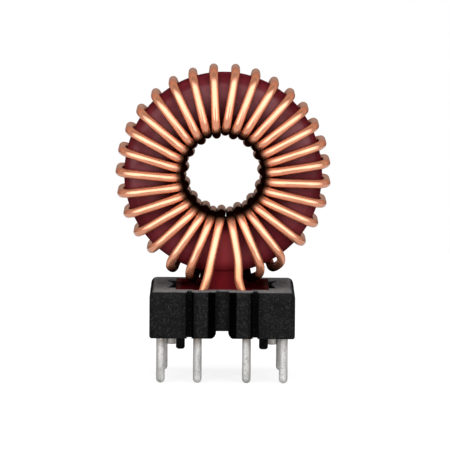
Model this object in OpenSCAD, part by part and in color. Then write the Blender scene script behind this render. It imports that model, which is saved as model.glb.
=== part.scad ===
// Vertical toroidal inductor: a ring core with two mirrored windings of 15 turns,
// bonded into a moulded pin header.
// Frame: +X to the right, +Y to the back, +Z up. The origin is centred under the header,
// with z = 0 at the pin tips.

/* [Ring core] */
// Outer diameter of the coated core
core_od = 20.5; // [19.5:0.1:21]
// Inner diameter of the coated core
core_id = 10; // [9.94:0.02:10.6]
// Thickness of the coated core along its axis
core_t = 7.6; // [6.4:0.1:8]
// Radius of the core's four edges
core_edge = 1.3; // [1.1:0.05:1.5]
// Height of the core's axis above the header's top
core_lift = 11.775; // [11.6:0.025:12.4]

/* [Wire] */
// Diameter over the enamel
wire_d = 0.88; // [0.6:0.01:0.88]
// Air between the wire and the core that it is wound on
lay_gap = 0.02; // [0.01:0.01:0.06]
// Bend allowance where a turn goes round an edge of the core
bend = 1.5; // [1.2:0.1:1.7]
// How far a turn bows inwards halfway through the bore
bore_bow = 0.36; // [0.2:0.01:0.4]
// How far every second turn lies further in, at the mouth of the bore
mouth_stagger = 0.2; // [0.16:0.01:0.26]
// How much more of that there is halfway through the bore
bore_stagger = 0.09; // [0.06:0.01:0.16]
// Share by which a turn has moved to its even place when it enters the bore
settle = 0.45; // [0.35:0.05:0.8]

/* [Left winding] */
// Angle from the bottom of the first turn at the front rim
left_rim_first = 7.4; // [6:0.1:8]
// Angle of the last turn at the front rim
left_rim_last = 174.4; // [172:0.1:175]
// How far the turns at the front rim crowd up the ring
left_rim_bow = 0; // [0:0.1:4]
// Angle of the first turn at the mouth of the bore
left_mouth_first = 5.1; // [4.5:0.1:6]
// Angle of the last turn at the mouth of the bore
left_mouth_last = 170.1; // [169:0.1:171]
// How far the turns at the mouth crowd up the ring
left_mouth_bow = -2.9; // [-3:0.1:-1]
// Angle of the first turn inside the bore
left_bore_first = 2; // [1.5:0.1:2.5]
// Angle by which the lowest loops lean from the back rim to the front rim
left_lean = 5; // [3:0.1:8]

/* [Right winding] */
// Angle from the bottom of the first turn at the front rim
right_rim_first = 8.9; // [8:0.1:10]
// Angle of the last turn at the front rim
right_rim_last = 173.4; // [172:0.1:174]
// How far the turns at the front rim crowd up the ring
right_rim_bow = 10.7; // [8:0.1:11]
// Angle of the first turn at the mouth of the bore
right_mouth_first = 12.2; // [11.5:0.1:13]
// Angle of the last turn at the mouth of the bore
right_mouth_last = 176.5; // [175:0.1:177]
// How far the turns at the mouth crowd up the ring
right_mouth_bow = -2.5; // [-3:0.1:-1]
// Angle of the first turn inside the bore
right_bore_first = 10; // [9.5:0.1:10.5]
// Angle by which the lowest loops lean from the back rim to the front rim
right_lean = 9.6; // [4:0.1:10]

/* [Loops over the rim] */
// Extra radius of a loop beside the header, halfway over the rim
loop_slack = 1.8; // [1:0.1:2]
// Extra radius of the same loop at the front and back faces
loop_slack_face = 0.4; // [0.3:0.1:0.8]
// Angle up the ring over which that slack fades
loop_fade = 29; // [20:1:32]

/* [Header] */
// Width of the header
header_w = 15.03; // [14.8:0.01:16]
// Depth of the header, front to back
header_d = 14; // [13.8:0.1:15]
// Height of the header's body
header_h = 4.91; // [4.6:0.01:6]
// Radius of the top edges
header_top_r = 0.75; // [0.4:0.05:0.9]
// Radius of the bottom edges
header_bottom_r = 0.25; // [0.1:0.05:0.35]
// Radius of the upright corners
header_corner_r = 0.7; // [0.4:0.05:1]
// Width of a groove in the front and back walls
groove_w = 0.5; // [0.4:0.05:0.6]
// Distance from the middle to a groove's inner side
groove_x = 3.15; // [3.1:0.05:3.3]
// Depth of the grooves
groove_depth = 1.4; // [1:0.1:1.5]
// Radius of the grooves' upright edges
groove_edge_r = 0.25; // [0.1:0.05:0.3]
// Width of the web between the two lobes
web_w = 1.24; // [1:0.02:1.4]
// How far the web stands back from the lobes
web_recess = 1.3; // [1:0.1:1.35]
// How far the web stops above the underside
web_raise = 0.66; // [0.4:0.02:1]
// Radius of the lobes' inner edges
lobe_r = 0.8; // [0.5:0.05:1]
// Diameter of a locating peg
peg_d = 0.94; // [0.8:0.02:1]
// Length of a locating peg below the header
peg_len = 1.9; // [1.5:0.1:2.4]
// Distance of each peg from the middle
peg_x = 4.34; // [4:0.02:4.5]
// Chamfer at a peg's end
peg_chamfer = 0.15; // [0.1:0.05:0.3]

/* [Resin pocket] */
// Width of the pocket in the header's top
pocket_w = 9.64; // [9.4:0.02:9.8]
// Depth of the pocket, front to back
pocket_d = 10.3; // [10.1:0.1:10.5]
// Depth of the pocket below the header's top
pocket_depth = 2.5; // [2.2:0.1:2.8]
// Reach of the side slots beyond the pocket
slot_reach = 0.82; // [0.5:0.02:1]
// Width of a side slot at its outer end
slot_w = 1.5; // [1:0.1:1.8]
// Distance between the two side slots of one end
slot_pitch = 5.8; // [5.2:0.1:6.4]
// Reach of the pointed tongue between two side slots
tongue_reach = 0.55; // [0.3:0.05:0.7]
// Half width of the resin pillar under the core
pillar_half_w = 1.2; // [0.8:0.05:1.3]
// Depth of the pillar in front of the core's middle
pillar_front = 3.7; // [3:0.1:3.7]
// Depth of the pillar behind the core's middle
pillar_back = 2.2; // [1.5:0.1:2.4]
// How far the resin lies below the header's top
resin_drop = 0.12; // [0.05:0.01:0.3]

/* [Pins] */
// Diameter of a pin
pin_d = 0.9; // [0.7:0.01:0.92]
// Length of a pin below the header
pin_len = 4.81; // [4:0.01:6]
// Distance between the two rows of pins
row_pitch = 10.16; // [10.1:0.01:10.3]
// Distance between the two outer pins of the front row
front_outer_pitch = 12.7; // [12.5:0.01:12.9]
// Distance between the two inner pins of the front row
inner_pitch = 5.08; // [5:0.01:5.2]
// Distance between the two pins of the back row
back_pitch = 12.34; // [12.3:0.01:12.5]
// Length of an inner pin in the header, up to the wire
inner_pin_in = 2.6; // [2.45:0.05:3]
// Length of a corner pin in the header
corner_pin_in = 3.4; // [2.5:0.1:3.8]
// Width of a pin's square root, which is pressed into the header
root_w = 0.62; // [0.48:0.02:0.62]
// How far the root shows below the header
root_out = 0.1; // [0.06:0.02:0.2]
// Air round the corners of a pin's root in its hole
hole_gap = 0.03; // [0.01:0.01:0.05]

/* [Leads in the header] */
// Distance from the middle to a lead at the header's top
lead_x = 1.9; // [1.8:0.02:2.2]
// Distance in front of or behind the middle of a lead at the header's top
lead_top_y = 5.2; // [5.08:0.02:5.3]
// Straight length of wire on top of an inner pin
lead_stand = 0.4; // [0.3:0.05:0.5]
// Distance of the left lead from the middle where it meets its first strand
left_lead_x = 1.2; // [1.1:0.05:1.4]
// Height of that place above the header's top
left_lead_rise = 2.3; // [2:0.1:2.6]
// Distance of the right lead from the middle where it meets its first strand
right_lead_x = 1.64; // [1.5:0.02:1.7]
// Height of that place above the header's top
right_lead_rise = 2.5; // [2.2:0.1:2.8]
// Air round a lead in its channel
lead_gap = 0.12; // [0.11:0.01:0.16]
// Air round a lead in its notch in the pocket's wall
notch_gap = 0.08; // [0.06:0.01:0.12]

/* [Back leads] */
// Distance of a tinned wire end from the middle
stub_x = 5.31; // [5.26:0.01:5.33]
// Distance of a tinned wire end behind the middle
stub_y = 4.74; // [4.7:0.01:4.78]
// Length of a tinned wire end below the header
stub_len = 2; // [1.5:0.1:2.6]
// Radius at which a back lead runs round the bore
skirt_r = 6.7; // [6.4:0.1:7]
// Height above the header's top at which it leaves the ring
skirt_low = 2.2; // [2:0.1:2.5]
// Depth of the wire groove in the header's underside
relief_depth = 1.0; // [0.95:0.05:1.2]
// Air on each side of the wire in that groove
relief_gap = 0.07; // [0.05:0.01:0.08]

/* [Hidden] */

$fn = 64;

// A cut runs this far past the face that it opens
past = 1;
left = -1;
right = 1;
front = -1;
back = 1;

header_z = pin_len;
header_top = header_z + header_h;
ring_z = header_top + core_lift;
pocket_z = header_top - pocket_depth;
row_y = row_pitch / 2;
inner_pin_x = inner_pitch / 2;
inner_pin_top = header_z + inner_pin_in;
// The hole of an inner pin goes this far past the joint with the wire
joint_room = 0.1;
corner_pin_top = header_z + corner_pin_in;
pin_hole_d = root_w * sqrt(2) + 2 * hole_gap;

wire_r = wire_d / 2;
turns = 15;
leaning_loops = 2;
// Where the middle of the wire runs round the core
face_y = core_t / 2 + wire_r + lay_gap;
rim_r = core_od / 2 + wire_r + lay_gap;
bore_r = core_id / 2 - wire_r - lay_gap;
// The back leads run one wire behind the turns
lead_y = face_y + wire_d + 2 * lay_gap;
// A loop's middle stays this high, so that the wire rests on the header
loop_low_z = header_top + wire_r + lay_gap;
wire_sides = 8;
corner_steps = 3;
bow_steps = 2;

left_lay = [left, left_rim_first, left_rim_last, left_rim_bow,
            left_mouth_first, left_mouth_last, left_mouth_bow, left_bore_first, left_lean];
right_lay = [right, right_rim_first, right_rim_last, right_rim_bow,
             right_mouth_first, right_mouth_last, right_mouth_bow, right_bore_first, right_lean];

// ---- Angles of one turn, counted from the bottom of the ring -------------------------------

function share(turn) = turn / (turns - 1);
function rim_angle(lay, turn) =
    let (t = share(turn)) lay[1] + (lay[2] - lay[1]) * t + lay[3] * sin(180 * t) * (1 - t);
function mouth_angle(lay, turn) =
    let (t = share(turn)) lay[4] + (lay[5] - lay[4]) * t + lay[6] * sin(180 * t);
function bore_angle(lay, turn) = lay[7] + 180 / turns * turn;
// Only the first two loops, which squeeze in beside the header, lean
function loop_lean(lay, turn) = turn <= leaning_loops ? lay[8] : 0;

// ---- Path of the wire ----------------------------------------------------------------------
// A path is a list of corners [x, y, z, bend length, steps], joined by straight wire.

function on_ring(side, angle, r, y) = [side * r * sin(angle), y, ring_z - r * cos(angle)];
function corner(p, length, steps = corner_steps) = [p.x, p.y, p.z, length, steps];
function slack(amount, angle) = amount * exp(-pow(angle / loop_fade, 2));
function loop_r(angle) =
    min(rim_r + slack(loop_slack, angle), (ring_z - loop_low_z) / cos(min(angle, 60)));
function face_r(angle) = rim_r + slack(loop_slack_face, angle);

function front_rim(lay, turn) =
    let (a = rim_angle(lay, turn)) on_ring(lay[0], a, face_r(a), -face_y);
// Every second turn round the whole ring lies further in, because the bore is full
function inset(lay, turn) = (lay[0] == left ? turn + 1 : turn) % 2;
function mouth_r(lay, turn) = bore_r - mouth_stagger * inset(lay, turn);
function bow_r(lay, turn) = mouth_r(lay, turn) - bore_bow - bore_stagger * inset(lay, turn);
function front_bore(lay, turn) =
    let (a = mouth_angle(lay, turn) * (1 - settle) + bore_angle(lay, turn) * settle)
    on_ring(lay[0], a, mouth_r(lay, turn), -face_y);

function back_bore(lay, turn, y) =
    on_ring(lay[0], bore_angle(lay, turn), mouth_r(lay, turn), y);

// From the front face into the bore
function bore_pass(lay, turn) =
    [corner(front_bore(lay, turn), bend),
     corner(on_ring(lay[0], bore_angle(lay, turn), bow_r(lay, turn), 0), bend, bow_steps)];
// From the bore out over the back and the rim to the next front strand
function rim_pass(lay, turn) =
    let (a = rim_angle(lay, turn), lean = loop_lean(lay, turn))
    [corner(back_bore(lay, turn - 1, face_y), bend),
     corner(on_ring(lay[0], a - lean, face_r(a - lean), face_y), bend),
     corner(on_ring(lay[0], a - lean, loop_r(a - lean), 0), 2 * bend, bow_steps),
     corner(front_rim(lay, turn), bend)];
function winding_turns(lay) =
    [for (turn = [0:turns - 1])
        each concat(turn == 0 ? [] : rim_pass(lay, turn), bore_pass(lay, turn))];

// A lead slants in its channel from the place of an inner pin to the header's top
function lead_end(side, row) = [side * inner_pin_x, row * row_y, inner_pin_top];
function lead_foot(side, row) = lead_end(side, row) + [0, 0, lead_stand];
function lead_top(side, row) = [side * lead_x, row * lead_top_y, header_top + resin_drop];

// Front leads, from the joint with the inner pin up to the first strand
left_front_lead = [
    corner(lead_end(left, front), 0, 1),
    corner(lead_foot(left, front), 0.3, 2),
    corner(lead_top(left, front), 0.3, 2),
    [-(left_lead_x + 0.3), -face_y - wire_r, header_top + left_lead_rise - 1.05, 0.5, 2],
    [-left_lead_x, -face_y, header_top + left_lead_rise, 0.5, 2]
];
right_front_lead = [
    corner(lead_end(right, front), 0, 1),
    corner(lead_foot(right, front), 0.3, 2),
    corner(lead_top(right, front), 0.25, 2),
    [right_lead_x, -lead_top_y + 0.2, header_top + right_lead_rise - 1.8, 0.3, 2],
    [right_lead_x, -face_y, header_top + right_lead_rise, 0.8, 2]
];
// Back leads: round the bore behind the turns, down through the header and out under it
function back_lead(lay) =
    let (side = lay[0],
         relief_mid = header_z + relief_depth / 2)
    [corner(back_bore(lay, turns - 1, lead_y), 0.9),
     corner(on_ring(side, bore_angle(lay, turns - 1) - 2, skirt_r, lead_y), 1),
     corner(on_ring(side, 144, skirt_r + 0.4, lead_y), 1.6),
     corner(on_ring(side, 110, skirt_r, lead_y), 1.8),
     corner(on_ring(side, 76, skirt_r, lead_y), 1.8),
     corner([side * lead_x, lead_top_y, header_top + skirt_low], 1.2),
     corner(lead_top(side, back), 0.3, 2),
     corner(lead_foot(side, back), 0.3, 2),
     corner([side * inner_pin_x, row_y, relief_mid], 0.6),
     corner([side * stub_x, stub_y, relief_mid], 0.6),
     corner([side * stub_x, stub_y, header_z - stub_len], 0, 1)];

// ---- Sweeping a round wire along a path ----------------------------------------------------

function unit(v) = v / norm(v);
function xyz(c) = [c.x, c.y, c.z];
// A corner becomes a curve that leaves both straights tangentially
function rounded(path) =
    [for (i = [0:len(path) - 1])
        let (c = path[i], p = xyz(c))
        if (c[3] == 0) p
        else
            let (before = xyz(path[i - 1]),
                 after = xyz(path[i + 1]),
                 reach_in = min(c[3], norm(before - p) / 2.02),
                 reach_out = min(c[3], norm(after - p) / 2.02),
                 a = p + unit(before - p) * reach_in,
                 b = p + unit(after - p) * reach_out)
            each [for (s = [0:c[4]])
                let (t = s / c[4]) a * pow(1 - t, 2) + p * 2 * t * (1 - t) + b * pow(t, 2)]];
function tangents(line) =
    let (last = len(line) - 1)
    [for (i = [0:last]) unit(line[min(i + 1, last)] - line[max(i - 1, 0)])];
function square_to(v, t) = unit(v - (v * t) * t);
// Each ring's first spoke is the last one's, turned no more than the wire bends
function spokes(along) =
    [for (i = 0, v = square_to([1, 0.01, 0], along[0]);
          i < len(along);
          i = i + 1, v = i < len(along) ? square_to(v, along[i]) : v) v];
function wire_rings(line) =
    let (along = tangents(line), first = spokes(along))
    [for (i = [0:len(line) - 1])
        let (across = cross(along[i], first[i]))
        for (s = [0:wire_sides - 1])
            let (a = 360 / wire_sides * s)
            line[i] + wire_r * (first[i] * cos(a) + across * sin(a))];
function wire_faces(rings) =
    [[for (s = [0:wire_sides - 1]) s],
     for (i = [0:rings - 2])
        for (s = [0:wire_sides - 1])
            let (n = (s + 1) % wire_sides,
                 a = i * wire_sides + s,
                 b = i * wire_sides + n,
                 c = b + wire_sides,
                 d = a + wire_sides)
            each [[a, c, b], [a, d, c]],
     [for (s = [wire_sides - 1:-1:0]) (rings - 1) * wire_sides + s]];

module wire(path) {
    line = rounded(path);
    polyhedron(wire_rings(line), wire_faces(len(line)));
}

module winding_left() {
    color([0.80, 0.48, 0.32])
        wire(concat(left_front_lead, winding_turns(left_lay), back_lead(left_lay)));
}

module winding_right() {
    color([0.80, 0.48, 0.32])
        wire(concat(right_front_lead, winding_turns(right_lay), back_lead(right_lay)));
}

// ---- Core ----------------------------------------------------------------------------------

// Section of the core in the half plane, with its four edges rounded
module core_section() {
    band = (core_od - core_id) / 2;
    translate([core_id / 2, -core_t / 2]) {
        translate([core_edge, 0])
            square([band - 2 * core_edge, core_t]);
        translate([0, core_edge])
            square([band, core_t - 2 * core_edge]);
        for (x = [core_edge, band - core_edge], y = [core_edge, core_t - core_edge])
            translate([x, y])
                circle(core_edge);
    }
}

module core() {
    color([0.40, 0.12, 0.15])
        translate([0, 0, ring_z])
            rotate([90, 0, 0])
                rotate_extrude($fn = 128)
                    core_section();
}

// ---- Header --------------------------------------------------------------------------------

module at_corners(x, y) {
    for (sx = [left, right], sy = [front, back])
        translate([sx * x, sy * y, 0])
            children();
}

// A block seen from one side, standing on the X axis, with its top and bottom edges rounded
module block_side(w) {
    top_r = header_top_r;
    low_r = header_bottom_r;
    translate([-w / 2, low_r])
        square([w, header_h - top_r - low_r]);
    translate([-w / 2 + low_r, 0])
        square([w - 2 * low_r, 2 * low_r]);
    translate([-w / 2 + top_r, low_r])
        square([w - 2 * top_r, header_h - low_r]);
    for (side = [left, right]) {
        translate([side * (w / 2 - top_r), header_h - top_r])
            circle(top_r);
        translate([side * (w / 2 - low_r), low_r])
            circle(low_r);
    }
}

module header_block() {
    intersection() {
        translate([0, header_d / 2, header_z])
            rotate([90, 0, 0])
                linear_extrude(header_d)
                    block_side(header_w);
        translate([-header_w / 2, 0, header_z])
            rotate([90, 0, 90])
                linear_extrude(header_w)
                    block_side(header_d);
        translate([0, 0, header_z])
            linear_extrude(header_h)
                header_plan();
    }
}

module header_plan() {
    x = header_w / 2 - header_corner_r;
    y = header_d / 2 - header_corner_r;
    square([2 * x, header_d], center = true);
    square([header_w, 2 * y], center = true);
    at_corners(x, y)
        circle(header_corner_r);
}

// The corner of a square less the quarter circle that rounds it, at the origin
module round_off(r) {
    difference() {
        translate([-past, -past])
            square([past + r, past + r]);
        translate([r, r])
            circle(r);
        translate([r, -2 * past])
            square([3 * past, 3 * past + r]);
        translate([-2 * past, r])
            square([3 * past + r, 3 * past]);
    }
}

// Grooves and the middle recess of one long wall, cut from above
module wall_cuts() {
    for (side = [left, right])
        translate([side * (groove_x + groove_w / 2), -header_d / 2, 0]) {
            translate([-groove_w / 2, -past])
                square([groove_w, past + groove_depth - groove_w / 2]);
            translate([0, groove_depth - groove_w / 2])
                circle(groove_w / 2);
            for (edge = [0, 1])
                mirror([edge, 0, 0])
                    translate([groove_w / 2, 0])
                        round_off(groove_edge_r);
        }
    translate([-web_w / 2, -header_d / 2 - past])
        square([web_w, past + web_recess]);
    for (side = [left, right])
        mirror([side == right ? 0 : 1, 0, 0])
            translate([web_w / 2, -header_d / 2])
                round_off(lobe_r);
}

// The arch under the middle of the header, seen from the front
module under_arch() {
    translate([-web_w / 2, -past])
        square([web_w, past + web_raise]);
    for (side = [left, right])
        mirror([side == right ? 0 : 1, 0, 0])
            translate([web_w / 2, 0])
                round_off(lobe_r * 0.8);
}

// Plan of the pocket with its side slots and the tongues between them
module pocket_plan() {
    square([pocket_w, pocket_d], center = true);
    for (side = [left, right], row = [front, back])
        translate([side * (pocket_w / 2 + slot_reach / 2 - past / 2), row * slot_pitch / 2])
            square([slot_reach + past, slot_w], center = true);
    for (side = [left, right])
        polygon([[side * pocket_w / 2, -slot_pitch / 2],
                 [side * (pocket_w / 2 + slot_reach), -slot_pitch / 2],
                 [side * (pocket_w / 2 + slot_reach - tongue_reach), 0],
                 [side * (pocket_w / 2 + slot_reach), slot_pitch / 2],
                 [side * pocket_w / 2, slot_pitch / 2]]);
}

module pin_hole(x, y, top) {
    translate([x, y, header_z - past])
        cylinder(h = top - header_z + past + hole_gap, d = pin_hole_d);
}

// Notch in the pocket's wall where a lead comes up beside it
module lead_notch(side, row) {
    x0 = lead_x - wire_r - notch_gap;
    x1 = inner_pin_x + wire_r + notch_gap;
    y1 = lead_top_y + wire_r + notch_gap;
    translate([side == right ? x0 : -x1, row == back ? row_y : -y1, inner_pin_top])
        cube([x1 - x0, y1 - row_y, header_h]);
}

// Channel that a lead slants through, from its pin's hole out of the resin's top
module lead_channel(side, row) {
    way = lead_top(side, row) - lead_end(side, row);
    translate(lead_end(side, row))
        rotate([0, acos(way.z / norm(way)), atan2(way.y, way.x)])
            cylinder(h = 2 * norm(way), d = wire_d + 2 * lead_gap);
}

// Groove in the underside that takes a back lead out to its pin
module relief(side) {
    w = wire_d + 2 * relief_gap;
    x0 = inner_pin_x - w / 2;
    x1 = stub_x + w / 2;
    translate([side == right ? x0 : -x1, stub_y - w / 2, header_z - past])
        cube([x1 - x0, row_y - stub_y + w, past + relief_depth]);
}

module peg(side) {
    translate([side * peg_x, 0, header_z - peg_len]) {
        cylinder(h = peg_chamfer, d1 = peg_d - 2 * peg_chamfer, d2 = peg_d);
        translate([0, 0, peg_chamfer])
            cylinder(h = peg_len - peg_chamfer, d = peg_d);
    }
}

module header() {
    color([0.14, 0.14, 0.15]) {
        difference() {
            header_block();
            translate([0, 0, header_z - past])
                linear_extrude(header_h + 2 * past)
                    for (row = [0, 1])
                        mirror([0, row, 0])
                            wall_cuts();
            translate([0, header_d, header_z])
                rotate([90, 0, 0])
                    linear_extrude(2 * header_d)
                        under_arch();
            translate([0, 0, pocket_z])
                linear_extrude(pocket_depth + past)
                    pocket_plan();
            for (side = [left, right]) {
                for (row = [front, back]) {
                    pin_hole(side * inner_pin_x, row * row_y, inner_pin_top + joint_room);
                    lead_notch(side, row);
                }
                pin_hole(side * front_outer_pitch / 2, -row_y, corner_pin_top);
                pin_hole(side * back_pitch / 2, row_y, corner_pin_top);
                relief(side);
            }
        }
        peg(left);
        peg(right);
    }
}

// ---- Resin ---------------------------------------------------------------------------------

// Resin in the pocket, with a pillar of it up to the core
module resin() {
    top = header_top - resin_drop;
    w = pocket_w - 2 * hole_gap;
    d = pocket_d - 2 * hole_gap;
    color([0.28, 0.06, 0.08])
        difference() {
            union() {
                translate([-w / 2, -d / 2, pocket_z])
                    cube([w, d, top - pocket_z]);
                translate([-pillar_half_w, -pillar_front, top])
                    cube([2 * pillar_half_w, pillar_front + pillar_back,
                          core_lift - core_od / 2 + core_edge]);
            }
            translate([0, core_t, ring_z])
                rotate([90, 0, 0])
                    cylinder(h = 2 * core_t, d = core_od + 2 * lay_gap, $fn = 128);
            for (side = [left, right], row = [front, back]) {
                pin_hole(side * inner_pin_x, row * row_y, inner_pin_top + joint_room);
                lead_channel(side, row);
            }
        }
}

// ---- Pins ----------------------------------------------------------------------------------

// A round pin with a domed tip and a square root that keeps it from turning in the header
module pin(x, y, top) {
    root_z = header_z - root_out;
    color([0.78, 0.78, 0.76])
        translate([x, y, 0]) {
            translate([0, 0, pin_d / 2])
                sphere(d = pin_d);
            translate([0, 0, pin_d / 2])
                cylinder(h = root_z - pin_d / 2, d = pin_d);
            translate([-root_w / 2, -root_w / 2, root_z])
                cube([root_w, root_w, top - root_z]);
        }
}

module pin_front_left_outer() {
    pin(-front_outer_pitch / 2, -row_y, corner_pin_top);
}

module pin_front_left_inner() {
    pin(-inner_pin_x, -row_y, inner_pin_top);
}

module pin_front_right_inner() {
    pin(inner_pin_x, -row_y, inner_pin_top);
}

module pin_front_right_outer() {
    pin(front_outer_pitch / 2, -row_y, corner_pin_top);
}

module pin_back_left() {
    pin(-back_pitch / 2, row_y, corner_pin_top);
}

module pin_back_right() {
    pin(back_pitch / 2, row_y, corner_pin_top);
}

header();
core();
resin();
winding_left();
winding_right();
pin_front_left_outer();
pin_front_left_inner();
pin_front_right_inner();
pin_front_right_outer();
pin_back_left();
pin_back_right();
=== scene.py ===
import math

import bpy
from mathutils import Matrix, Vector


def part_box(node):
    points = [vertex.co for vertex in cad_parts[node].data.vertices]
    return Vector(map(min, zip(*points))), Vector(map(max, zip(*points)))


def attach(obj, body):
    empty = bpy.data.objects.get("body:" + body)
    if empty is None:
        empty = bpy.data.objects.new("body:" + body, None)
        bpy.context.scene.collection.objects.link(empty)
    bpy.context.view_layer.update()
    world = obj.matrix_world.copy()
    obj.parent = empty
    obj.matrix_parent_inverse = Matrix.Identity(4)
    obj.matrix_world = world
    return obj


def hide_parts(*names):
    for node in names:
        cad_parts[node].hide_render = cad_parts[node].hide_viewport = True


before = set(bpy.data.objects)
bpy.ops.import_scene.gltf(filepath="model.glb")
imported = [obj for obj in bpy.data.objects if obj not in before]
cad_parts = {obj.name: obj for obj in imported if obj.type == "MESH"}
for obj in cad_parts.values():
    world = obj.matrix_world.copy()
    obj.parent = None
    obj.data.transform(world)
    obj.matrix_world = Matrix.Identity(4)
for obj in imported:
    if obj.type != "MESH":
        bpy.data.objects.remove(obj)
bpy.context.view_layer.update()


# ---- Header ----------------------------------------------------------------------------------
# One block of glass-filled black plastic, moulded with a resin pocket in its top and two
# locating pegs under it. The spark-eroded mould leaves a fine matte grain all over it.

header_bottom = 0.00481
header_top = 0.00972


class Signal:
    """One output of a node. Python's operators on it add the Math nodes."""

    def __init__(self, nodes, socket):
        self.nodes = nodes
        self.socket = socket

    def math(self, operation, *values):
        sockets = dict(enumerate(values))
        return self.nodes.node("ShaderNodeMath", {"operation": operation}, sockets)

    def __add__(self, other):
        return self.math("ADD", self, other)

    def __sub__(self, other):
        return self.math("SUBTRACT", self, other)

    def __rsub__(self, other):
        return self.math("SUBTRACT", other, self)

    def __mul__(self, other):
        return self.math("MULTIPLY", self, other)

    def __pow__(self, other):
        return self.math("POWER", self, other)

    def __abs__(self):
        return self.math("ABSOLUTE", self)

    __radd__ = __add__

    def larger(self, other):
        return self.math("MAXIMUM", self, other)

    def ramp(self, low, high, start=0.0, end=1.0):
        """start below low, end above high, and smooth between them."""
        sockets = {"Value": self, "From Min": low, "From Max": high,
                   "To Min": start, "To Max": end}
        kind = {"interpolation_type": "SMOOTHSTEP"}
        return self.nodes.node("ShaderNodeMapRange", kind, sockets)


class Nodes:
    """A node tree under construction, in which each node is made by one call."""

    def __init__(self, tree):
        self.tree = tree

    def node(self, kind, settings, sockets, output=0):
        made = self.tree.nodes.new(kind)
        for name, value in settings.items():
            setattr(made, name, value)
        for name, value in sockets.items():
            self.feed(made.inputs[name], value)
        return Signal(self, made.outputs[output])

    def feed(self, socket, value):
        if isinstance(value, Signal):
            self.tree.links.new(value.socket, socket)
        else:
            socket.default_value = value

    def split(self, vector):
        """The vector's x, y and z."""
        first = self.node("ShaderNodeSeparateXYZ", {}, {"Vector": vector})
        return [Signal(self, socket) for socket in first.socket.node.outputs]

    def mixed(self, factor, a, b):
        """Colour a where the factor is 0, colour b where it is 1."""
        return self.node("ShaderNodeMix", {"data_type": "RGBA"}, {0: factor, 6: a, 7: b}, 2)


class Finish(Nodes):
    """A material under construction around one Principled shader."""

    def __init__(self, name, **constants):
        self.material = bpy.data.materials.new(name)
        self.material.use_nodes = True
        super().__init__(self.material.node_tree)
        self.shader = self.tree.nodes["Principled BSDF"]
        self.place = self.node("ShaderNodeTexCoord", {}, {}, "Object")
        for socket, value in constants.items():
            self.set(socket.replace("_", " "), value)

    def set(self, socket, value):
        self.feed(self.shader.inputs[socket], value)

    def stretched(self, x, y, z):
        return self.node("ShaderNodeVectorMath", {"operation": "MULTIPLY"},
                         {0: self.place, 1: (x, y, z)})

    def noise(self, per_metre, detail=2.0, roughness=0.5, along=None):
        sockets = {"Vector": along or self.place, "Scale": per_metre,
                   "Detail": detail, "Roughness": roughness}
        return self.node("ShaderNodeTexNoise", {}, sockets)

    def bump(self, height, distance, strength):
        sockets = {"Height": height, "Distance": distance, "Strength": strength}
        self.set("Normal", self.node("ShaderNodeBump", {}, sockets))


def rgb(r, g, b):
    return (r, g, b, 1.0)


def moulded_plastic():
    finish = Finish("moulded_plastic", Specular_IOR_Level=0.0)
    x, y, height = finish.split(finish.place)
    grain = finish.noise(5200.0, detail=3.0, roughness=0.65)
    blotches = finish.noise(1400.0)
    specks = finish.noise(6200.0).ramp(0.52, 0.70)
    tone = finish.mixed(blotches, rgb(0.009, 0.009, 0.009), rgb(0.024, 0.024, 0.025))
    # The top face is painted lighter in patches: a painted sheen of the light that glances off it
    painted_top_sheen = height.ramp(header_top - 0.00020, header_top - 0.00002)
    tone = finish.mixed(painted_top_sheen * (0.4 + blotches), tone, rgb(0.27, 0.27, 0.275))
    tone = finish.mixed(specks * 0.5, tone, rgb(0.080, 0.080, 0.080))
    # Paint, not form: it stands for the shade of grooves wider than the solid's
    web_edge, groove_middle = 0.00109, 0.00334
    aside = abs(x)
    beside_web = 1.0 - abs(aside - web_edge).ramp(0.00028, 0.00052)
    beside_groove = 1.0 - abs(aside - groove_middle).ramp(0.00030, 0.00060)
    long_wall = abs(y).ramp(0.0058, 0.0061) * (1.0 - painted_top_sheen)
    finish.set("Base Color", finish.mixed((beside_web + beside_groove) * long_wall, tone,
                                          rgb(0.001, 0.001, 0.001)))
    finish.set("Roughness", 0.44 + grain * 0.16)
    finish.bump(grain + blotches * 0.4, distance=0.00008, strength=0.8)
    return finish.material


def paint(node, material):
    """Gives a part of the frame its finish."""
    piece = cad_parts[node]
    piece.data.materials.clear()
    piece.data.materials.append(material)


paint("header", moulded_plastic())


# ---- Pins ------------------------------------------------------------------------------------
# Six round pins of hot-tinned wire, pressed into the header from below. The tin is slightly
# dull, drawn out along the pin, and stained by flux just under the header.

def tinned_wire():
    finish = Finish("tinned_wire", Metallic=0.3, Specular_IOR_Level=0.3)
    _, _, height = finish.split(finish.place)
    drips = finish.noise(900.0, detail=3.0, roughness=0.6,
                         along=finish.stretched(1.0, 1.0, 0.22))
    pits = finish.noise(5200.0, roughness=0.6)
    flux = height.ramp(0.0034, 0.0048) * finish.noise(700.0).ramp(0.35, 0.6)
    tin = finish.mixed(drips.ramp(0.38, 0.6), rgb(0.50, 0.495, 0.48), rgb(0.76, 0.75, 0.73))
    tin = finish.mixed(pits.ramp(0.56, 0.72) * 0.7, tin, rgb(0.20, 0.195, 0.19))
    finish.set("Base Color", finish.mixed(flux * 0.8, tin, rgb(0.24, 0.17, 0.12)))
    finish.set("Roughness", 0.30 + drips * 0.22)
    finish.bump(drips * 0.7 + pits * 0.3, distance=0.00003, strength=0.5)
    return finish.material


pin_finish = tinned_wire()
for pin in ("pin_front_left_outer", "pin_front_left_inner", "pin_front_right_inner",
            "pin_front_right_outer", "pin_back_left", "pin_back_right"):
    paint(pin, pin_finish)


# ---- Core ------------------------------------------------------------------------------------
# A pressed iron-powder ring under a thick dark red coating, which runs smooth and glossy over
# the faces and rounds off the edges.

ring_z = 0.021495
ring_radius = 0.01025
bore_radius = 0.0050
ring_half_depth = 0.0038
ring_edge = 0.0013
bore_swell = 0.00026


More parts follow.
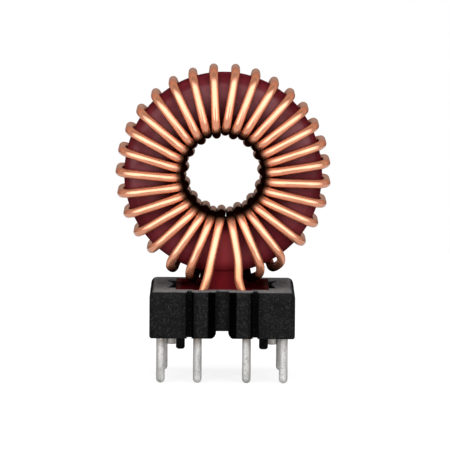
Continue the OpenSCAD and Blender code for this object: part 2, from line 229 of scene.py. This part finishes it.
def coated_core():
    finish = Finish("coated_core", Specular_IOR_Level=0.0, Coat_Roughness=0.25)
    x, _, height = finish.split(finish.place)
    z = height - ring_z
    radius = (x * x + z * z) ** 0.5
    peel = finish.noise(900.0)
    cloud = finish.noise(260.0, detail=3.0)
    # Darker toward the bore, where it stands for shade, and painted lighter and redder at the
    # foot, a painted pool of light
    foot = (1.0 - abs(x).ramp(0.0006, 0.0022)) * (1.0 - z.ramp(-0.0066, -0.0048))
    outward = (radius + foot * 0.002).ramp(0.0052, 0.0088)
    body = finish.mixed(cloud.ramp(0.3, 0.7), rgb(0.125, 0.012, 0.018), rgb(0.200, 0.022, 0.032))
    body = finish.mixed(foot * 0.55, body, rgb(0.36, 0.030, 0.034))
    finish.set("Base Color", finish.mixed(outward, rgb(0.045, 0.004, 0.006), body))
    finish.set("Roughness", 0.38 + peel * 0.12)
    # The gloss is cloudy, and painted strongest on the upper part of the faces: a painted sheen
    # where the light falls
    face = outward * (1.0 - radius.ramp(0.0097, 0.0102))
    painted_upper_sheen = 0.3 + z.ramp(-0.0080, 0.0040) * 0.7
    finish.set("Coat Weight", (0.35 + cloud.ramp(0.40, 0.62) * 0.65) * face * painted_upper_sheen * 0.55)
    finish.bump(peel, distance=0.00006, strength=0.5)
    return finish.material


def ring_profile(outer, inner, half_depth, edge, swell):
    """Radius and depth round the ring's section.

    The coating swells in the middle of the bore, which closes the gaps behind the wires.
    """
    edge_steps, bore_steps = 12, 16
    flat = half_depth - edge
    points = []
    for quarter in range(4):
        side = 1 if quarter in (0, 1) else -1
        rim = quarter in (0, 3)
        for step in range(edge_steps + 1):
            turn = math.pi / 2 * (step / edge_steps + quarter)
            radius = (outer - edge if rim else inner + edge) + edge * math.cos(turn)
            points.append((radius, side * flat + edge * math.sin(turn)))
        if quarter == 1:
            for step in range(1, bore_steps):
                y = flat * (1 - 2 * step / bore_steps)
                points.append((inner - swell * (1 - (y / flat) ** 2), y))
    return points


def lathed(name, profile, height, around, material):
    """A closed ring: the profile turned about the part's depth axis at a height."""
    points, faces = [], []
    for i in range(around):
        a = 2 * math.pi * i / around
        points += [(r * math.sin(a), y, height - r * math.cos(a)) for r, y in profile]
    count = len(profile)
    for i in range(around):
        here, there = i * count, (i + 1) % around * count
        for j in range(count):
            k = (j + 1) % count
            faces.append((here + j, here + k, there + k, there + j))
    mesh = bpy.data.meshes.new(name)
    mesh.from_pydata(points, [], faces)
    mesh.shade_smooth()
    mesh.materials.append(material)
    return placed(name, mesh)


def placed(name, data):
    """A new object at the origin."""
    made = bpy.data.objects.new(name, data)
    bpy.context.scene.collection.objects.link(made)
    return made


section = ring_profile(ring_radius, bore_radius, ring_half_depth, ring_edge, bore_swell)
ring = lathed("ring_core", section, height=ring_z, around=256, material=coated_core())
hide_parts("core")
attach(ring, "root")


# ---- Windings --------------------------------------------------------------------------------
# Two lengths of thick enamelled copper wire, each wound by hand for 15 turns up one half of
# the ring. The front ends drop to the inner pins, and the back ends run out under the header.

turns = 15
wire_radius = 0.00044
lay_gap = 0.00002
face_y = ring_half_depth + wire_radius + lay_gap
lead_y = face_y + 2 * wire_radius + 2 * lay_gap
rim_r = ring_radius + wire_radius + lay_gap
bore_r = bore_radius - wire_radius - lay_gap

# The bore is full, so every second turn is staggered inward, and all settle in at mid-depth
stagger = 0.0002
settle = 0.00036
stagger_settle = 0.00009
mouth_drift, first_mouth_drift = 0.55, 0.15

# How loosely the loops and faces lie at the bottom, and the angle over which that dies away
loop_slack, face_slack = 0.0018, 0.0004
slack_angle = 29.0
leaning_turns = 2

# How far each corner of the path is rounded back along its straights
bend = 0.00195
loop_bend = 0.003
strand_bend = 0.0017
corner_steps = 8
strand_bow = 0.00038

# Where a lead joins its pin, passes the header's top, and comes out tinned under the header
pin_x, pin_y = 0.00254, 0.00508
lead_top_x, lead_top_y = 0.0019, 0.0052
tail_x, tail_y = 0.00531, 0.00474


class Lay:
    """How one winding is laid: its side of the ring, and its angles up from the bottom."""

    def __init__(self, side, rim, mouth, bore_first, lean):
        self.side = side
        self.rim = rim
        self.mouth = mouth
        self.bore_first = bore_first
        self.lean = lean

    def spread(self, ends, turn, crowd):
        first, last, bow = ends
        share = turn / (turns - 1)
        swell = math.sin(math.pi * share)
        return first + (last - first) * share + bow * swell * (1 - share if crowd else 1)

    def rim_angle(self, turn):
        return self.spread(self.rim, turn, True)

    def bore_angle(self, turn):
        return self.bore_first + 180 / turns * turn

    def mouth_angle(self, turn):
        """Where the strand crosses the edge of the bore, before it settles inside."""
        drift = mouth_drift if turn > 0 else first_mouth_drift
        return drift * self.spread(self.mouth, turn, False) + (1 - drift) * self.bore_angle(turn)

    def lean_angle(self, turn):
        """The lowest loops, which squeeze in beside the header, lean."""
        return self.lean if turn <= leaning_turns else 0.0

    def inset(self, turn):
        """1 for the turns that lie further in, which is every second one."""
        return (turn + (self.side < 0)) % 2

    def mouth_r(self, turn):
        return bore_r - stagger * self.inset(turn)

    def middle_r(self, turn):
        """Radius at mid-depth in the bore, clear of the swollen coating."""
        return self.mouth_r(turn) - settle - stagger_settle * self.inset(turn)

    def at(self, angle, radius, y):
        a = math.radians(angle)
        return Vector((self.side * radius * math.sin(a), y, ring_z - radius * math.cos(a)))


def slack(amount, angle):
    """A looseness that is greatest at the bottom of the ring and soon gone above it."""
    return amount * math.exp(-((angle / slack_angle) ** 2))


def loop_r(angle):
    """A loop beside the header bulges until the wire rests on the header's top."""
    rest = ring_z - header_top - wire_radius - lay_gap
    return min(rim_r + slack(loop_slack, angle), rest / math.cos(math.radians(min(angle, 60))))


def face_r(angle):
    return rim_r + slack(face_slack, angle)


def turn_corners(lay, turn):
    """Corners of one turn: over the rim from the turn before, down the face, into the bore."""
    angle, mouth = lay.rim_angle(turn), lay.mouth_angle(turn)
    corners = []
    if turn > 0:
        leaning = angle - lay.lean_angle(turn)
        before = lay.bore_angle(turn - 1)
        strand_middle = (lay.at(angle, face_r(angle), -face_y - strand_bow)
                         + lay.at(mouth, lay.mouth_r(turn), -face_y - strand_bow)) / 2
        corners = [(lay.at(before, lay.mouth_r(turn - 1), face_y), bend),
                   (lay.at(leaning, face_r(leaning), face_y), bend),
                   (lay.at(leaning, loop_r(leaning), 0), loop_bend),
                   (lay.at(angle, face_r(angle), -face_y), bend),
                   (strand_middle, strand_bend)]
    return corners + [(lay.at(mouth, lay.mouth_r(turn), -face_y), bend),
                      (lay.at(lay.bore_angle(turn), lay.middle_r(turn), 0), bend)]


def lead(lay, row):
    """The wire between its pin and the header's top."""
    foot = Vector((lay.side * pin_x, row * pin_y, header_bottom + 0.0026))
    top = Vector((lay.side * lead_top_x, row * lead_top_y, header_top + 0.00012))
    return [(foot, 0), (foot + Vector((0, 0, 0.0004)), 0.0003), (top, 0.0003)]


def back_lead(lay):
    """From the last turn round the bore behind the turns, and down out of the header."""
    side = lay.side
    skirt = 0.0067
    last = lay.bore_angle(turns - 1)
    relief = header_bottom + 0.0005
    return [(lay.at(last, lay.mouth_r(turns - 1), lead_y), 0.0009),
            (lay.at(last - 2, skirt, lead_y), 0.001),
            (lay.at(144, skirt + 0.0004, lead_y), 0.0016),
            (lay.at(110, skirt, lead_y), 0.0018),
            (lay.at(76, skirt, lead_y), 0.0018),
            (Vector((side * lead_top_x, lead_top_y, header_top + 0.0022)), 0.0012),
            *lead(lay, 1)[:0:-1],
            (Vector((side * pin_x, pin_y, relief)), 0.0006),
            (Vector((side * tail_x, tail_y, relief)), 0.0006),
            (Vector((side * tail_x, tail_y, header_bottom - 0.002)), 0)]


def rounded(corners):
    """Points along a path whose corners become curves that leave both straights smoothly."""
    points = []
    for i, (p, length) in enumerate(corners):
        if length == 0:
            points.append(p)
            continue
        before, after = corners[i - 1][0] - p, corners[i + 1][0] - p
        a = p + before.normalized() * min(length, before.length / 2.02)
        b = p + after.normalized() * min(length, after.length / 2.02)
        for step in range(corner_steps + 1):
            t = step / corner_steps
            points.append(a * (1 - t) ** 2 + p * 2 * t * (1 - t) + b * t ** 2)
    return points


class WireTree(Nodes):
    """A geometry tree that sweeps a round wire along a mesh's edges, with flat cut ends."""

    def __init__(self, material):
        super().__init__(bpy.data.node_groups.new("wound_wire", "GeometryNodeTree"))
        self.identifiers = {}
        self.start = self.tree.nodes.new("NodeGroupInput")
        path = self.socket("Geometry", "NodeSocketGeometry")
        radius = self.socket("wire radius", "NodeSocketFloat")
        step = self.socket("step length", "NodeSocketFloat")
        sides = self.socket("sides", "NodeSocketInt")
        line = self.node("GeometryNodeMeshToCurve", {}, {"Mesh": path})
        even = self.node("GeometryNodeResampleCurve", {"mode": "LENGTH"},
                         {"Curve": line, "Length": step})
        circle = self.node("GeometryNodeCurvePrimitiveCircle", {},
                           {"Resolution": sides, "Radius": radius})
        tube = self.node("GeometryNodeCurveToMesh", {},
                         {"Curve": even, "Profile Curve": circle, "Fill Caps": True})
        smooth = self.node("GeometryNodeSetShadeSmooth", {}, {"Geometry": tube})
        solid = self.node("GeometryNodeRealizeInstances", {}, {"Geometry": smooth})
        painted = self.node("GeometryNodeSetMaterial", {},
                            {"Geometry": solid, "Material": material})
        self.tree.interface.new_socket("Geometry", in_out="OUTPUT",
                                       socket_type="NodeSocketGeometry")
        self.feed(self.tree.nodes.new("NodeGroupOutput").inputs["Geometry"], painted)

    def socket(self, name, kind):
        """Adds a named input to the tree."""
        item = self.tree.interface.new_socket(name, in_out="INPUT", socket_type=kind)
        self.identifiers[name] = item.identifier
        return Signal(self, self.start.outputs[name])

    def grow(self, name, path, sizes):
        """Runs the tree on a mesh and keeps the result as a plain mesh piece."""
        seed = placed(name + "_path", path)
        modifier = seed.modifiers.new("tree", "NODES")
        modifier.node_group = self.tree
        for size, value in sizes.items():
            modifier[self.identifiers[size]] = value
        depsgraph = bpy.context.evaluated_depsgraph_get()
        grown = bpy.data.meshes.new_from_object(seed.evaluated_get(depsgraph))
        seed.modifiers.remove(modifier)
        bpy.data.objects.remove(seed)
        return placed(name, grown)


def path_mesh(name, points):
    mesh = bpy.data.meshes.new(name)
    mesh.from_pydata(points, [(i, i + 1) for i in range(len(points) - 1)], [])
    return mesh


def enamelled_copper():
    finish = Finish("enamelled_copper", Specular_IOR_Level=0.5,
                    Specular_Tint=rgb(0.45, 0.24, 0.15), Coat_IOR=1.8, Coat_Roughness=0.06)
    x, depth, height = finish.split(finish.place)
    z = height - ring_z
    radius = (x * x + z * z) ** 0.5
    pull = finish.noise(420.0, detail=3.0)
    fine = finish.noise(3800.0)
    tinned = 1.0 - height.ramp(0.0046, 0.0050)
    # The wire is dark under the ring and in the bore, where paint stands for deep shade. A coat
    # in the middle of the bore shines at a low angle.
    under = (1.0 - height.ramp(0.0112, 0.0128)) * depth.ramp(-0.0042, -0.0032) * (1.0 - tinned)
    # The wire outside the painted shade in the bore and under the ring
    unshaded = radius.ramp(0.0043, 0.0050) * (1.0 - under)
    middle = depth.ramp(-0.0027, -0.0018) * (1.0 - depth.ramp(0.0004, 0.0020))
    inside = middle * (1.0 - radius.ramp(0.0039, 0.0043)) * (1.0 - under)
    enamel = finish.mixed(pull.ramp(0.3, 0.7), rgb(0.80, 0.31, 0.165), rgb(0.88, 0.365, 0.205))
    enamel = finish.mixed(unshaded, rgb(0.012, 0.002, 0.001), enamel)
    finish.set("Base Color", finish.mixed(tinned, enamel, rgb(0.36, 0.35, 0.33)))
    finish.set("Metallic", 1.0 - unshaded * 0.45)
    dull = 1.0 - height.ramp(0.0116, 0.0130)
    finish.set("Coat Weight", unshaded * (1.0 - dull) * 0.6 + inside * 0.85)
    finish.set("Roughness", 0.60 - unshaded * 0.53 + fine * 0.04 + dull * 0.16 + tinned * 0.10)
    finish.bump(fine + tinned * pull, distance=0.000006, strength=0.4)
    return finish.material


# Each front lead has two more corners between the header's top and its first strand
windings = {
    "winding_left": (
        Lay(side=-1, rim=(7.4, 174.4, 0.0), mouth=(5.1, 170.1, -2.9), bore_first=2.0, lean=5.0),
        [(Vector((-0.0015, -0.00528, header_top + 0.0014)), 0.0006),
         (Vector((-0.0012, -0.0050, header_top + 0.0030)), 0.0009)]),
    "winding_right": (
        Lay(side=1, rim=(8.9, 173.4, 10.7), mouth=(12.2, 176.5, -2.5), bore_first=10.0, lean=9.6),
        [(Vector((0.00164, -0.00528, header_top + 0.0011)), 0.0004),
         (Vector((0.00164, -0.0050, header_top + 0.0030)), 0.0009)])}
wire_sizes = {"wire radius": wire_radius + lay_gap / 2, "step length": 0.0003, "sides": 28}
wire = WireTree(enamelled_copper())
for name, (lay, front_corners) in windings.items():
    corners = lead(lay, -1) + front_corners
    for turn in range(turns):
        corners += turn_corners(lay, turn)
    path = path_mesh(name, rounded(corners + back_lead(lay)))
    piece = wire.grow(name + "_wire", path, wire_sizes)
    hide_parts(name)
    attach(piece, "root")


# ---- Resin -----------------------------------------------------------------------------------
# Dark red epoxy, poured into the header's pocket with the ring standing in it. It has crept up
# the core as a short pillar and up the pocket's walls as a thin edge.

def cured_resin():
    finish = Finish("cured_resin", Specular_IOR_Level=0.0, Coat_Roughness=0.2)
    x, _, _ = finish.split(finish.place)
    aside = abs(x)
    ripple = finish.noise(700.0)
    cloud = finish.noise(420.0)
    pillar = 1.0 - aside.ramp(0.0012, 0.0030)
    pool = finish.mixed(cloud.ramp(0.35, 0.65), rgb(0.050, 0.003, 0.004), rgb(0.120, 0.006, 0.010))
    finish.set("Base Color", finish.mixed(pillar * 0.7, pool, rgb(0.19, 0.014, 0.020)))
    finish.set("Roughness", 0.34 + ripple * 0.12)
    finish.set("Coat Weight", aside.ramp(0.0041, 0.0046) * cloud.ramp(0.30, 0.55) * 0.06)
    finish.bump(ripple, distance=0.0001, strength=0.6)
    return finish.material


def smooth_step(value, low, high):
    share = min(max((value - low) / (high - low), 0.0), 1.0)
    return share * share * (3 - 2 * share)


def resin_height(x, y, half_x, half_y):
    """Top of the resin: the pool with its crept edge, and the pillar up to the ring."""
    pool_drop, creep, creep_reach = 0.00012, 0.0001, 0.0003
    from_wall = min(half_x - abs(x), half_y - abs(y))
    pool = header_top - pool_drop + creep * math.exp(-from_wall / creep_reach)
    pillar_middle, half_pillar = -0.00075, 0.00295
    across = 1 - smooth_step(abs(x), 0.00095, 0.0021)
    along = 1 - smooth_step(abs(y - pillar_middle), half_pillar - 0.0005, half_pillar + 0.0006)
    past_flat = min(max(abs(y) - (ring_half_depth - ring_edge), 0.0), ring_edge)
    falls_back = ring_edge - math.sqrt(ring_edge ** 2 - past_flat ** 2)
    seat_radius = ring_radius + lay_gap - falls_back
    under_ring = ring_z - math.sqrt(seat_radius ** 2 - x * x)
    return pool + (under_ring - pool) * across * along


def resin_mesh(low, high, cell):
    """A closed block whose top follows resin_height()."""
    half_x, half_y = high[0], high[1]
    across = math.ceil((high[0] - low[0]) / cell)
    along = math.ceil((high[1] - low[1]) / cell)
    tops, floors, faces = [], [], []
    for j in range(along + 1):
        for i in range(across + 1):
            x = low[0] + (high[0] - low[0]) * i / across
            y = low[1] + (high[1] - low[1]) * j / along
            tops.append((x, y, resin_height(x, y, half_x, half_y)))
            floors.append((x, y, low[2]))
    row, floor = across + 1, len(tops)
    for j in range(along):
        for i in range(across):
            a = j * row + i
            faces.append((a, a + 1, a + row + 1, a + row))
            faces.append((floor + a + row, floor + a + row + 1, floor + a + 1, floor + a))
    rim = [*range(across), *range(across, floor - 1, row),
           *range(floor - 1, floor - row, -1), *range(floor - row, 0, -row)]
    for a, b in zip(rim, rim[1:] + rim[:1]):
        faces.append((b, a, a + floor, b + floor))
    mesh = bpy.data.meshes.new("resin_body")
    mesh.from_pydata(tops + floors, [], faces)
    mesh.shade_smooth()
    mesh.materials.append(cured_resin())
    return mesh


resin_low, resin_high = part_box("resin")
resin = placed("resin_body", resin_mesh(resin_low, resin_high, cell=0.00009))
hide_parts("resin")
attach(resin, "root")


# ---- Bench, light and camera -----------------------------------------------------------------
# The part stands on its pin tips on a white table in soft studio light, brightest in front,
# with a long lens in front of it and a little above.

def sheet_mesh(name, side, front, back):
    mesh = bpy.data.meshes.new(name)
    mesh.from_pydata([(-side, front, 0), (side, front, 0), (side, back, 0), (-side, back, 0)],
                     [], [(0, 1, 2, 3)])
    return mesh


def ray(nodes, kind):
    """1 for one kind of ray, such as Is Camera Ray, and 0 for the others."""
    return nodes.node("ShaderNodeLightPath", {}, {}, kind)


def white_table():
    finish = Finish("white_table", Roughness=0.9, Specular_IOR_Level=0.0)
    finish.set("Base Color", rgb(0.42, 0.42, 0.42))
    finish.set("Emission Color", rgb(1, 1, 1))
    finish.set("Emission Strength",
               ray(finish, "Is Camera Ray") * 0.83 + ray(finish, "Is Glossy Ray") * 0.60)
    return finish.material


table = placed("table", sheet_mesh("table", side=0.10, front=-0.055, back=0.12))
table.data.materials.append(white_table())


def studio():
    """A world that is white to the camera, soft and dim to matte surfaces, and shaped to gloss."""
    world = bpy.data.worlds.new("studio")
    bpy.context.scene.world = world
    world.use_nodes = True
    sky = Nodes(world.node_tree)
    # The depth of a direction is -1 straight to the front and 1 straight to the back
    x, depth, above = sky.split(sky.node("ShaderNodeTexCoord", {}, {}, "Generated"))
    aside = abs(x)
    # In front, a bright panel that fades to the floor and the ceiling
    level = above.ramp(-0.80, -0.20, 0.12, 1.0) * above.ramp(0.50, 0.90, 1.0, 0.20)
    panel = depth.ramp(-0.90, -0.05, 3.5, 0.0) * level
    # At the sides and behind, dimmer light
    wings = aside.ramp(0.5, 0.9, 0.0, 0.35) * depth.ramp(0.25, 0.70, 1.0, 0.0)
    back = depth.ramp(0.05, 0.45, 0.12, 0.50) * above.ramp(-0.05, 0.12, 0.65, 1.0)
    # A dim gap low in the middle of the front
    gap = aside.ramp(0.12, 0.26, 0.15, 1.0)
    out_of_gap = above.ramp(-0.24, -0.08).larger(depth.ramp(-0.8, -0.6))
    gloss_light = (panel + (back + wings)) * gap.larger(out_of_gap)
    matte_light = depth.ramp(-0.6, 0.3, 0.62, 0.22)
    gloss = ray(sky, "Is Glossy Ray").larger(ray(sky, "Is Transmission Ray"))
    light = sky.node("ShaderNodeMix", {}, {0: gloss, 2: matte_light, 3: gloss_light})
    strength = sky.node("ShaderNodeMix", {}, {0: ray(sky, "Is Camera Ray"), 2: light, 3: 1.0})
    # Gloss sees a warm wall behind
    warm = gloss * depth.ramp(0.0, 0.5)
    background = sky.tree.nodes["Background"]
    sky.feed(background.inputs["Strength"], strength)
    sky.feed(background.inputs["Color"], sky.mixed(warm, rgb(1, 1, 1), rgb(1.0, 0.60, 0.46)))


studio()


def soft_box(name, place, width, height, watts):
    """A lamp that lights matte surfaces only, aimed at the middle of the part."""
    lamp = bpy.data.lights.new(name, "AREA")
    lamp.shape = "RECTANGLE"
    lamp.size = width
    lamp.size_y = height
    lamp.energy = watts
    aim = Vector((0, 0, 0.018)) - Vector(place)
    box = placed(name, lamp)
    turned = aim.to_track_quat("-Z", "Y").to_matrix().to_4x4()
    box.matrix_world = Matrix.Translation(place) @ turned
    box.visible_glossy = False


soft_box("left_box", (-0.20, -0.42, 0.20), width=0.16, height=0.30, watts=0.42)
soft_box("right_box", (0.20, -0.42, 0.20), width=0.16, height=0.30, watts=0.42)
soft_box("top_box", (0.0, -0.02, 0.5), width=0.35, height=0.35, watts=0.7)

camera = placed("camera", bpy.data.cameras.new("camera"))
camera.data.sensor_width = 36.0
camera.data.lens = 373.915
camera.data.clip_start = 0.01
camera.data.clip_end = 20.0
pitch, yaw, roll = 0.1025, 0.0021, 0.0071
turn_level = Matrix.Rotation(-yaw, 4, "Z") @ Matrix.Rotation(math.pi / 2 - pitch, 4, "X")
camera.matrix_world = (Matrix.Translation((-0.0007837, -0.484415, 0.0657343))
                       @ turn_level @ Matrix.Rotation(roll, 4, "Z"))
bpy.context.scene.camera = camera
bpy.context.scene.view_settings.view_transform = "Standard"
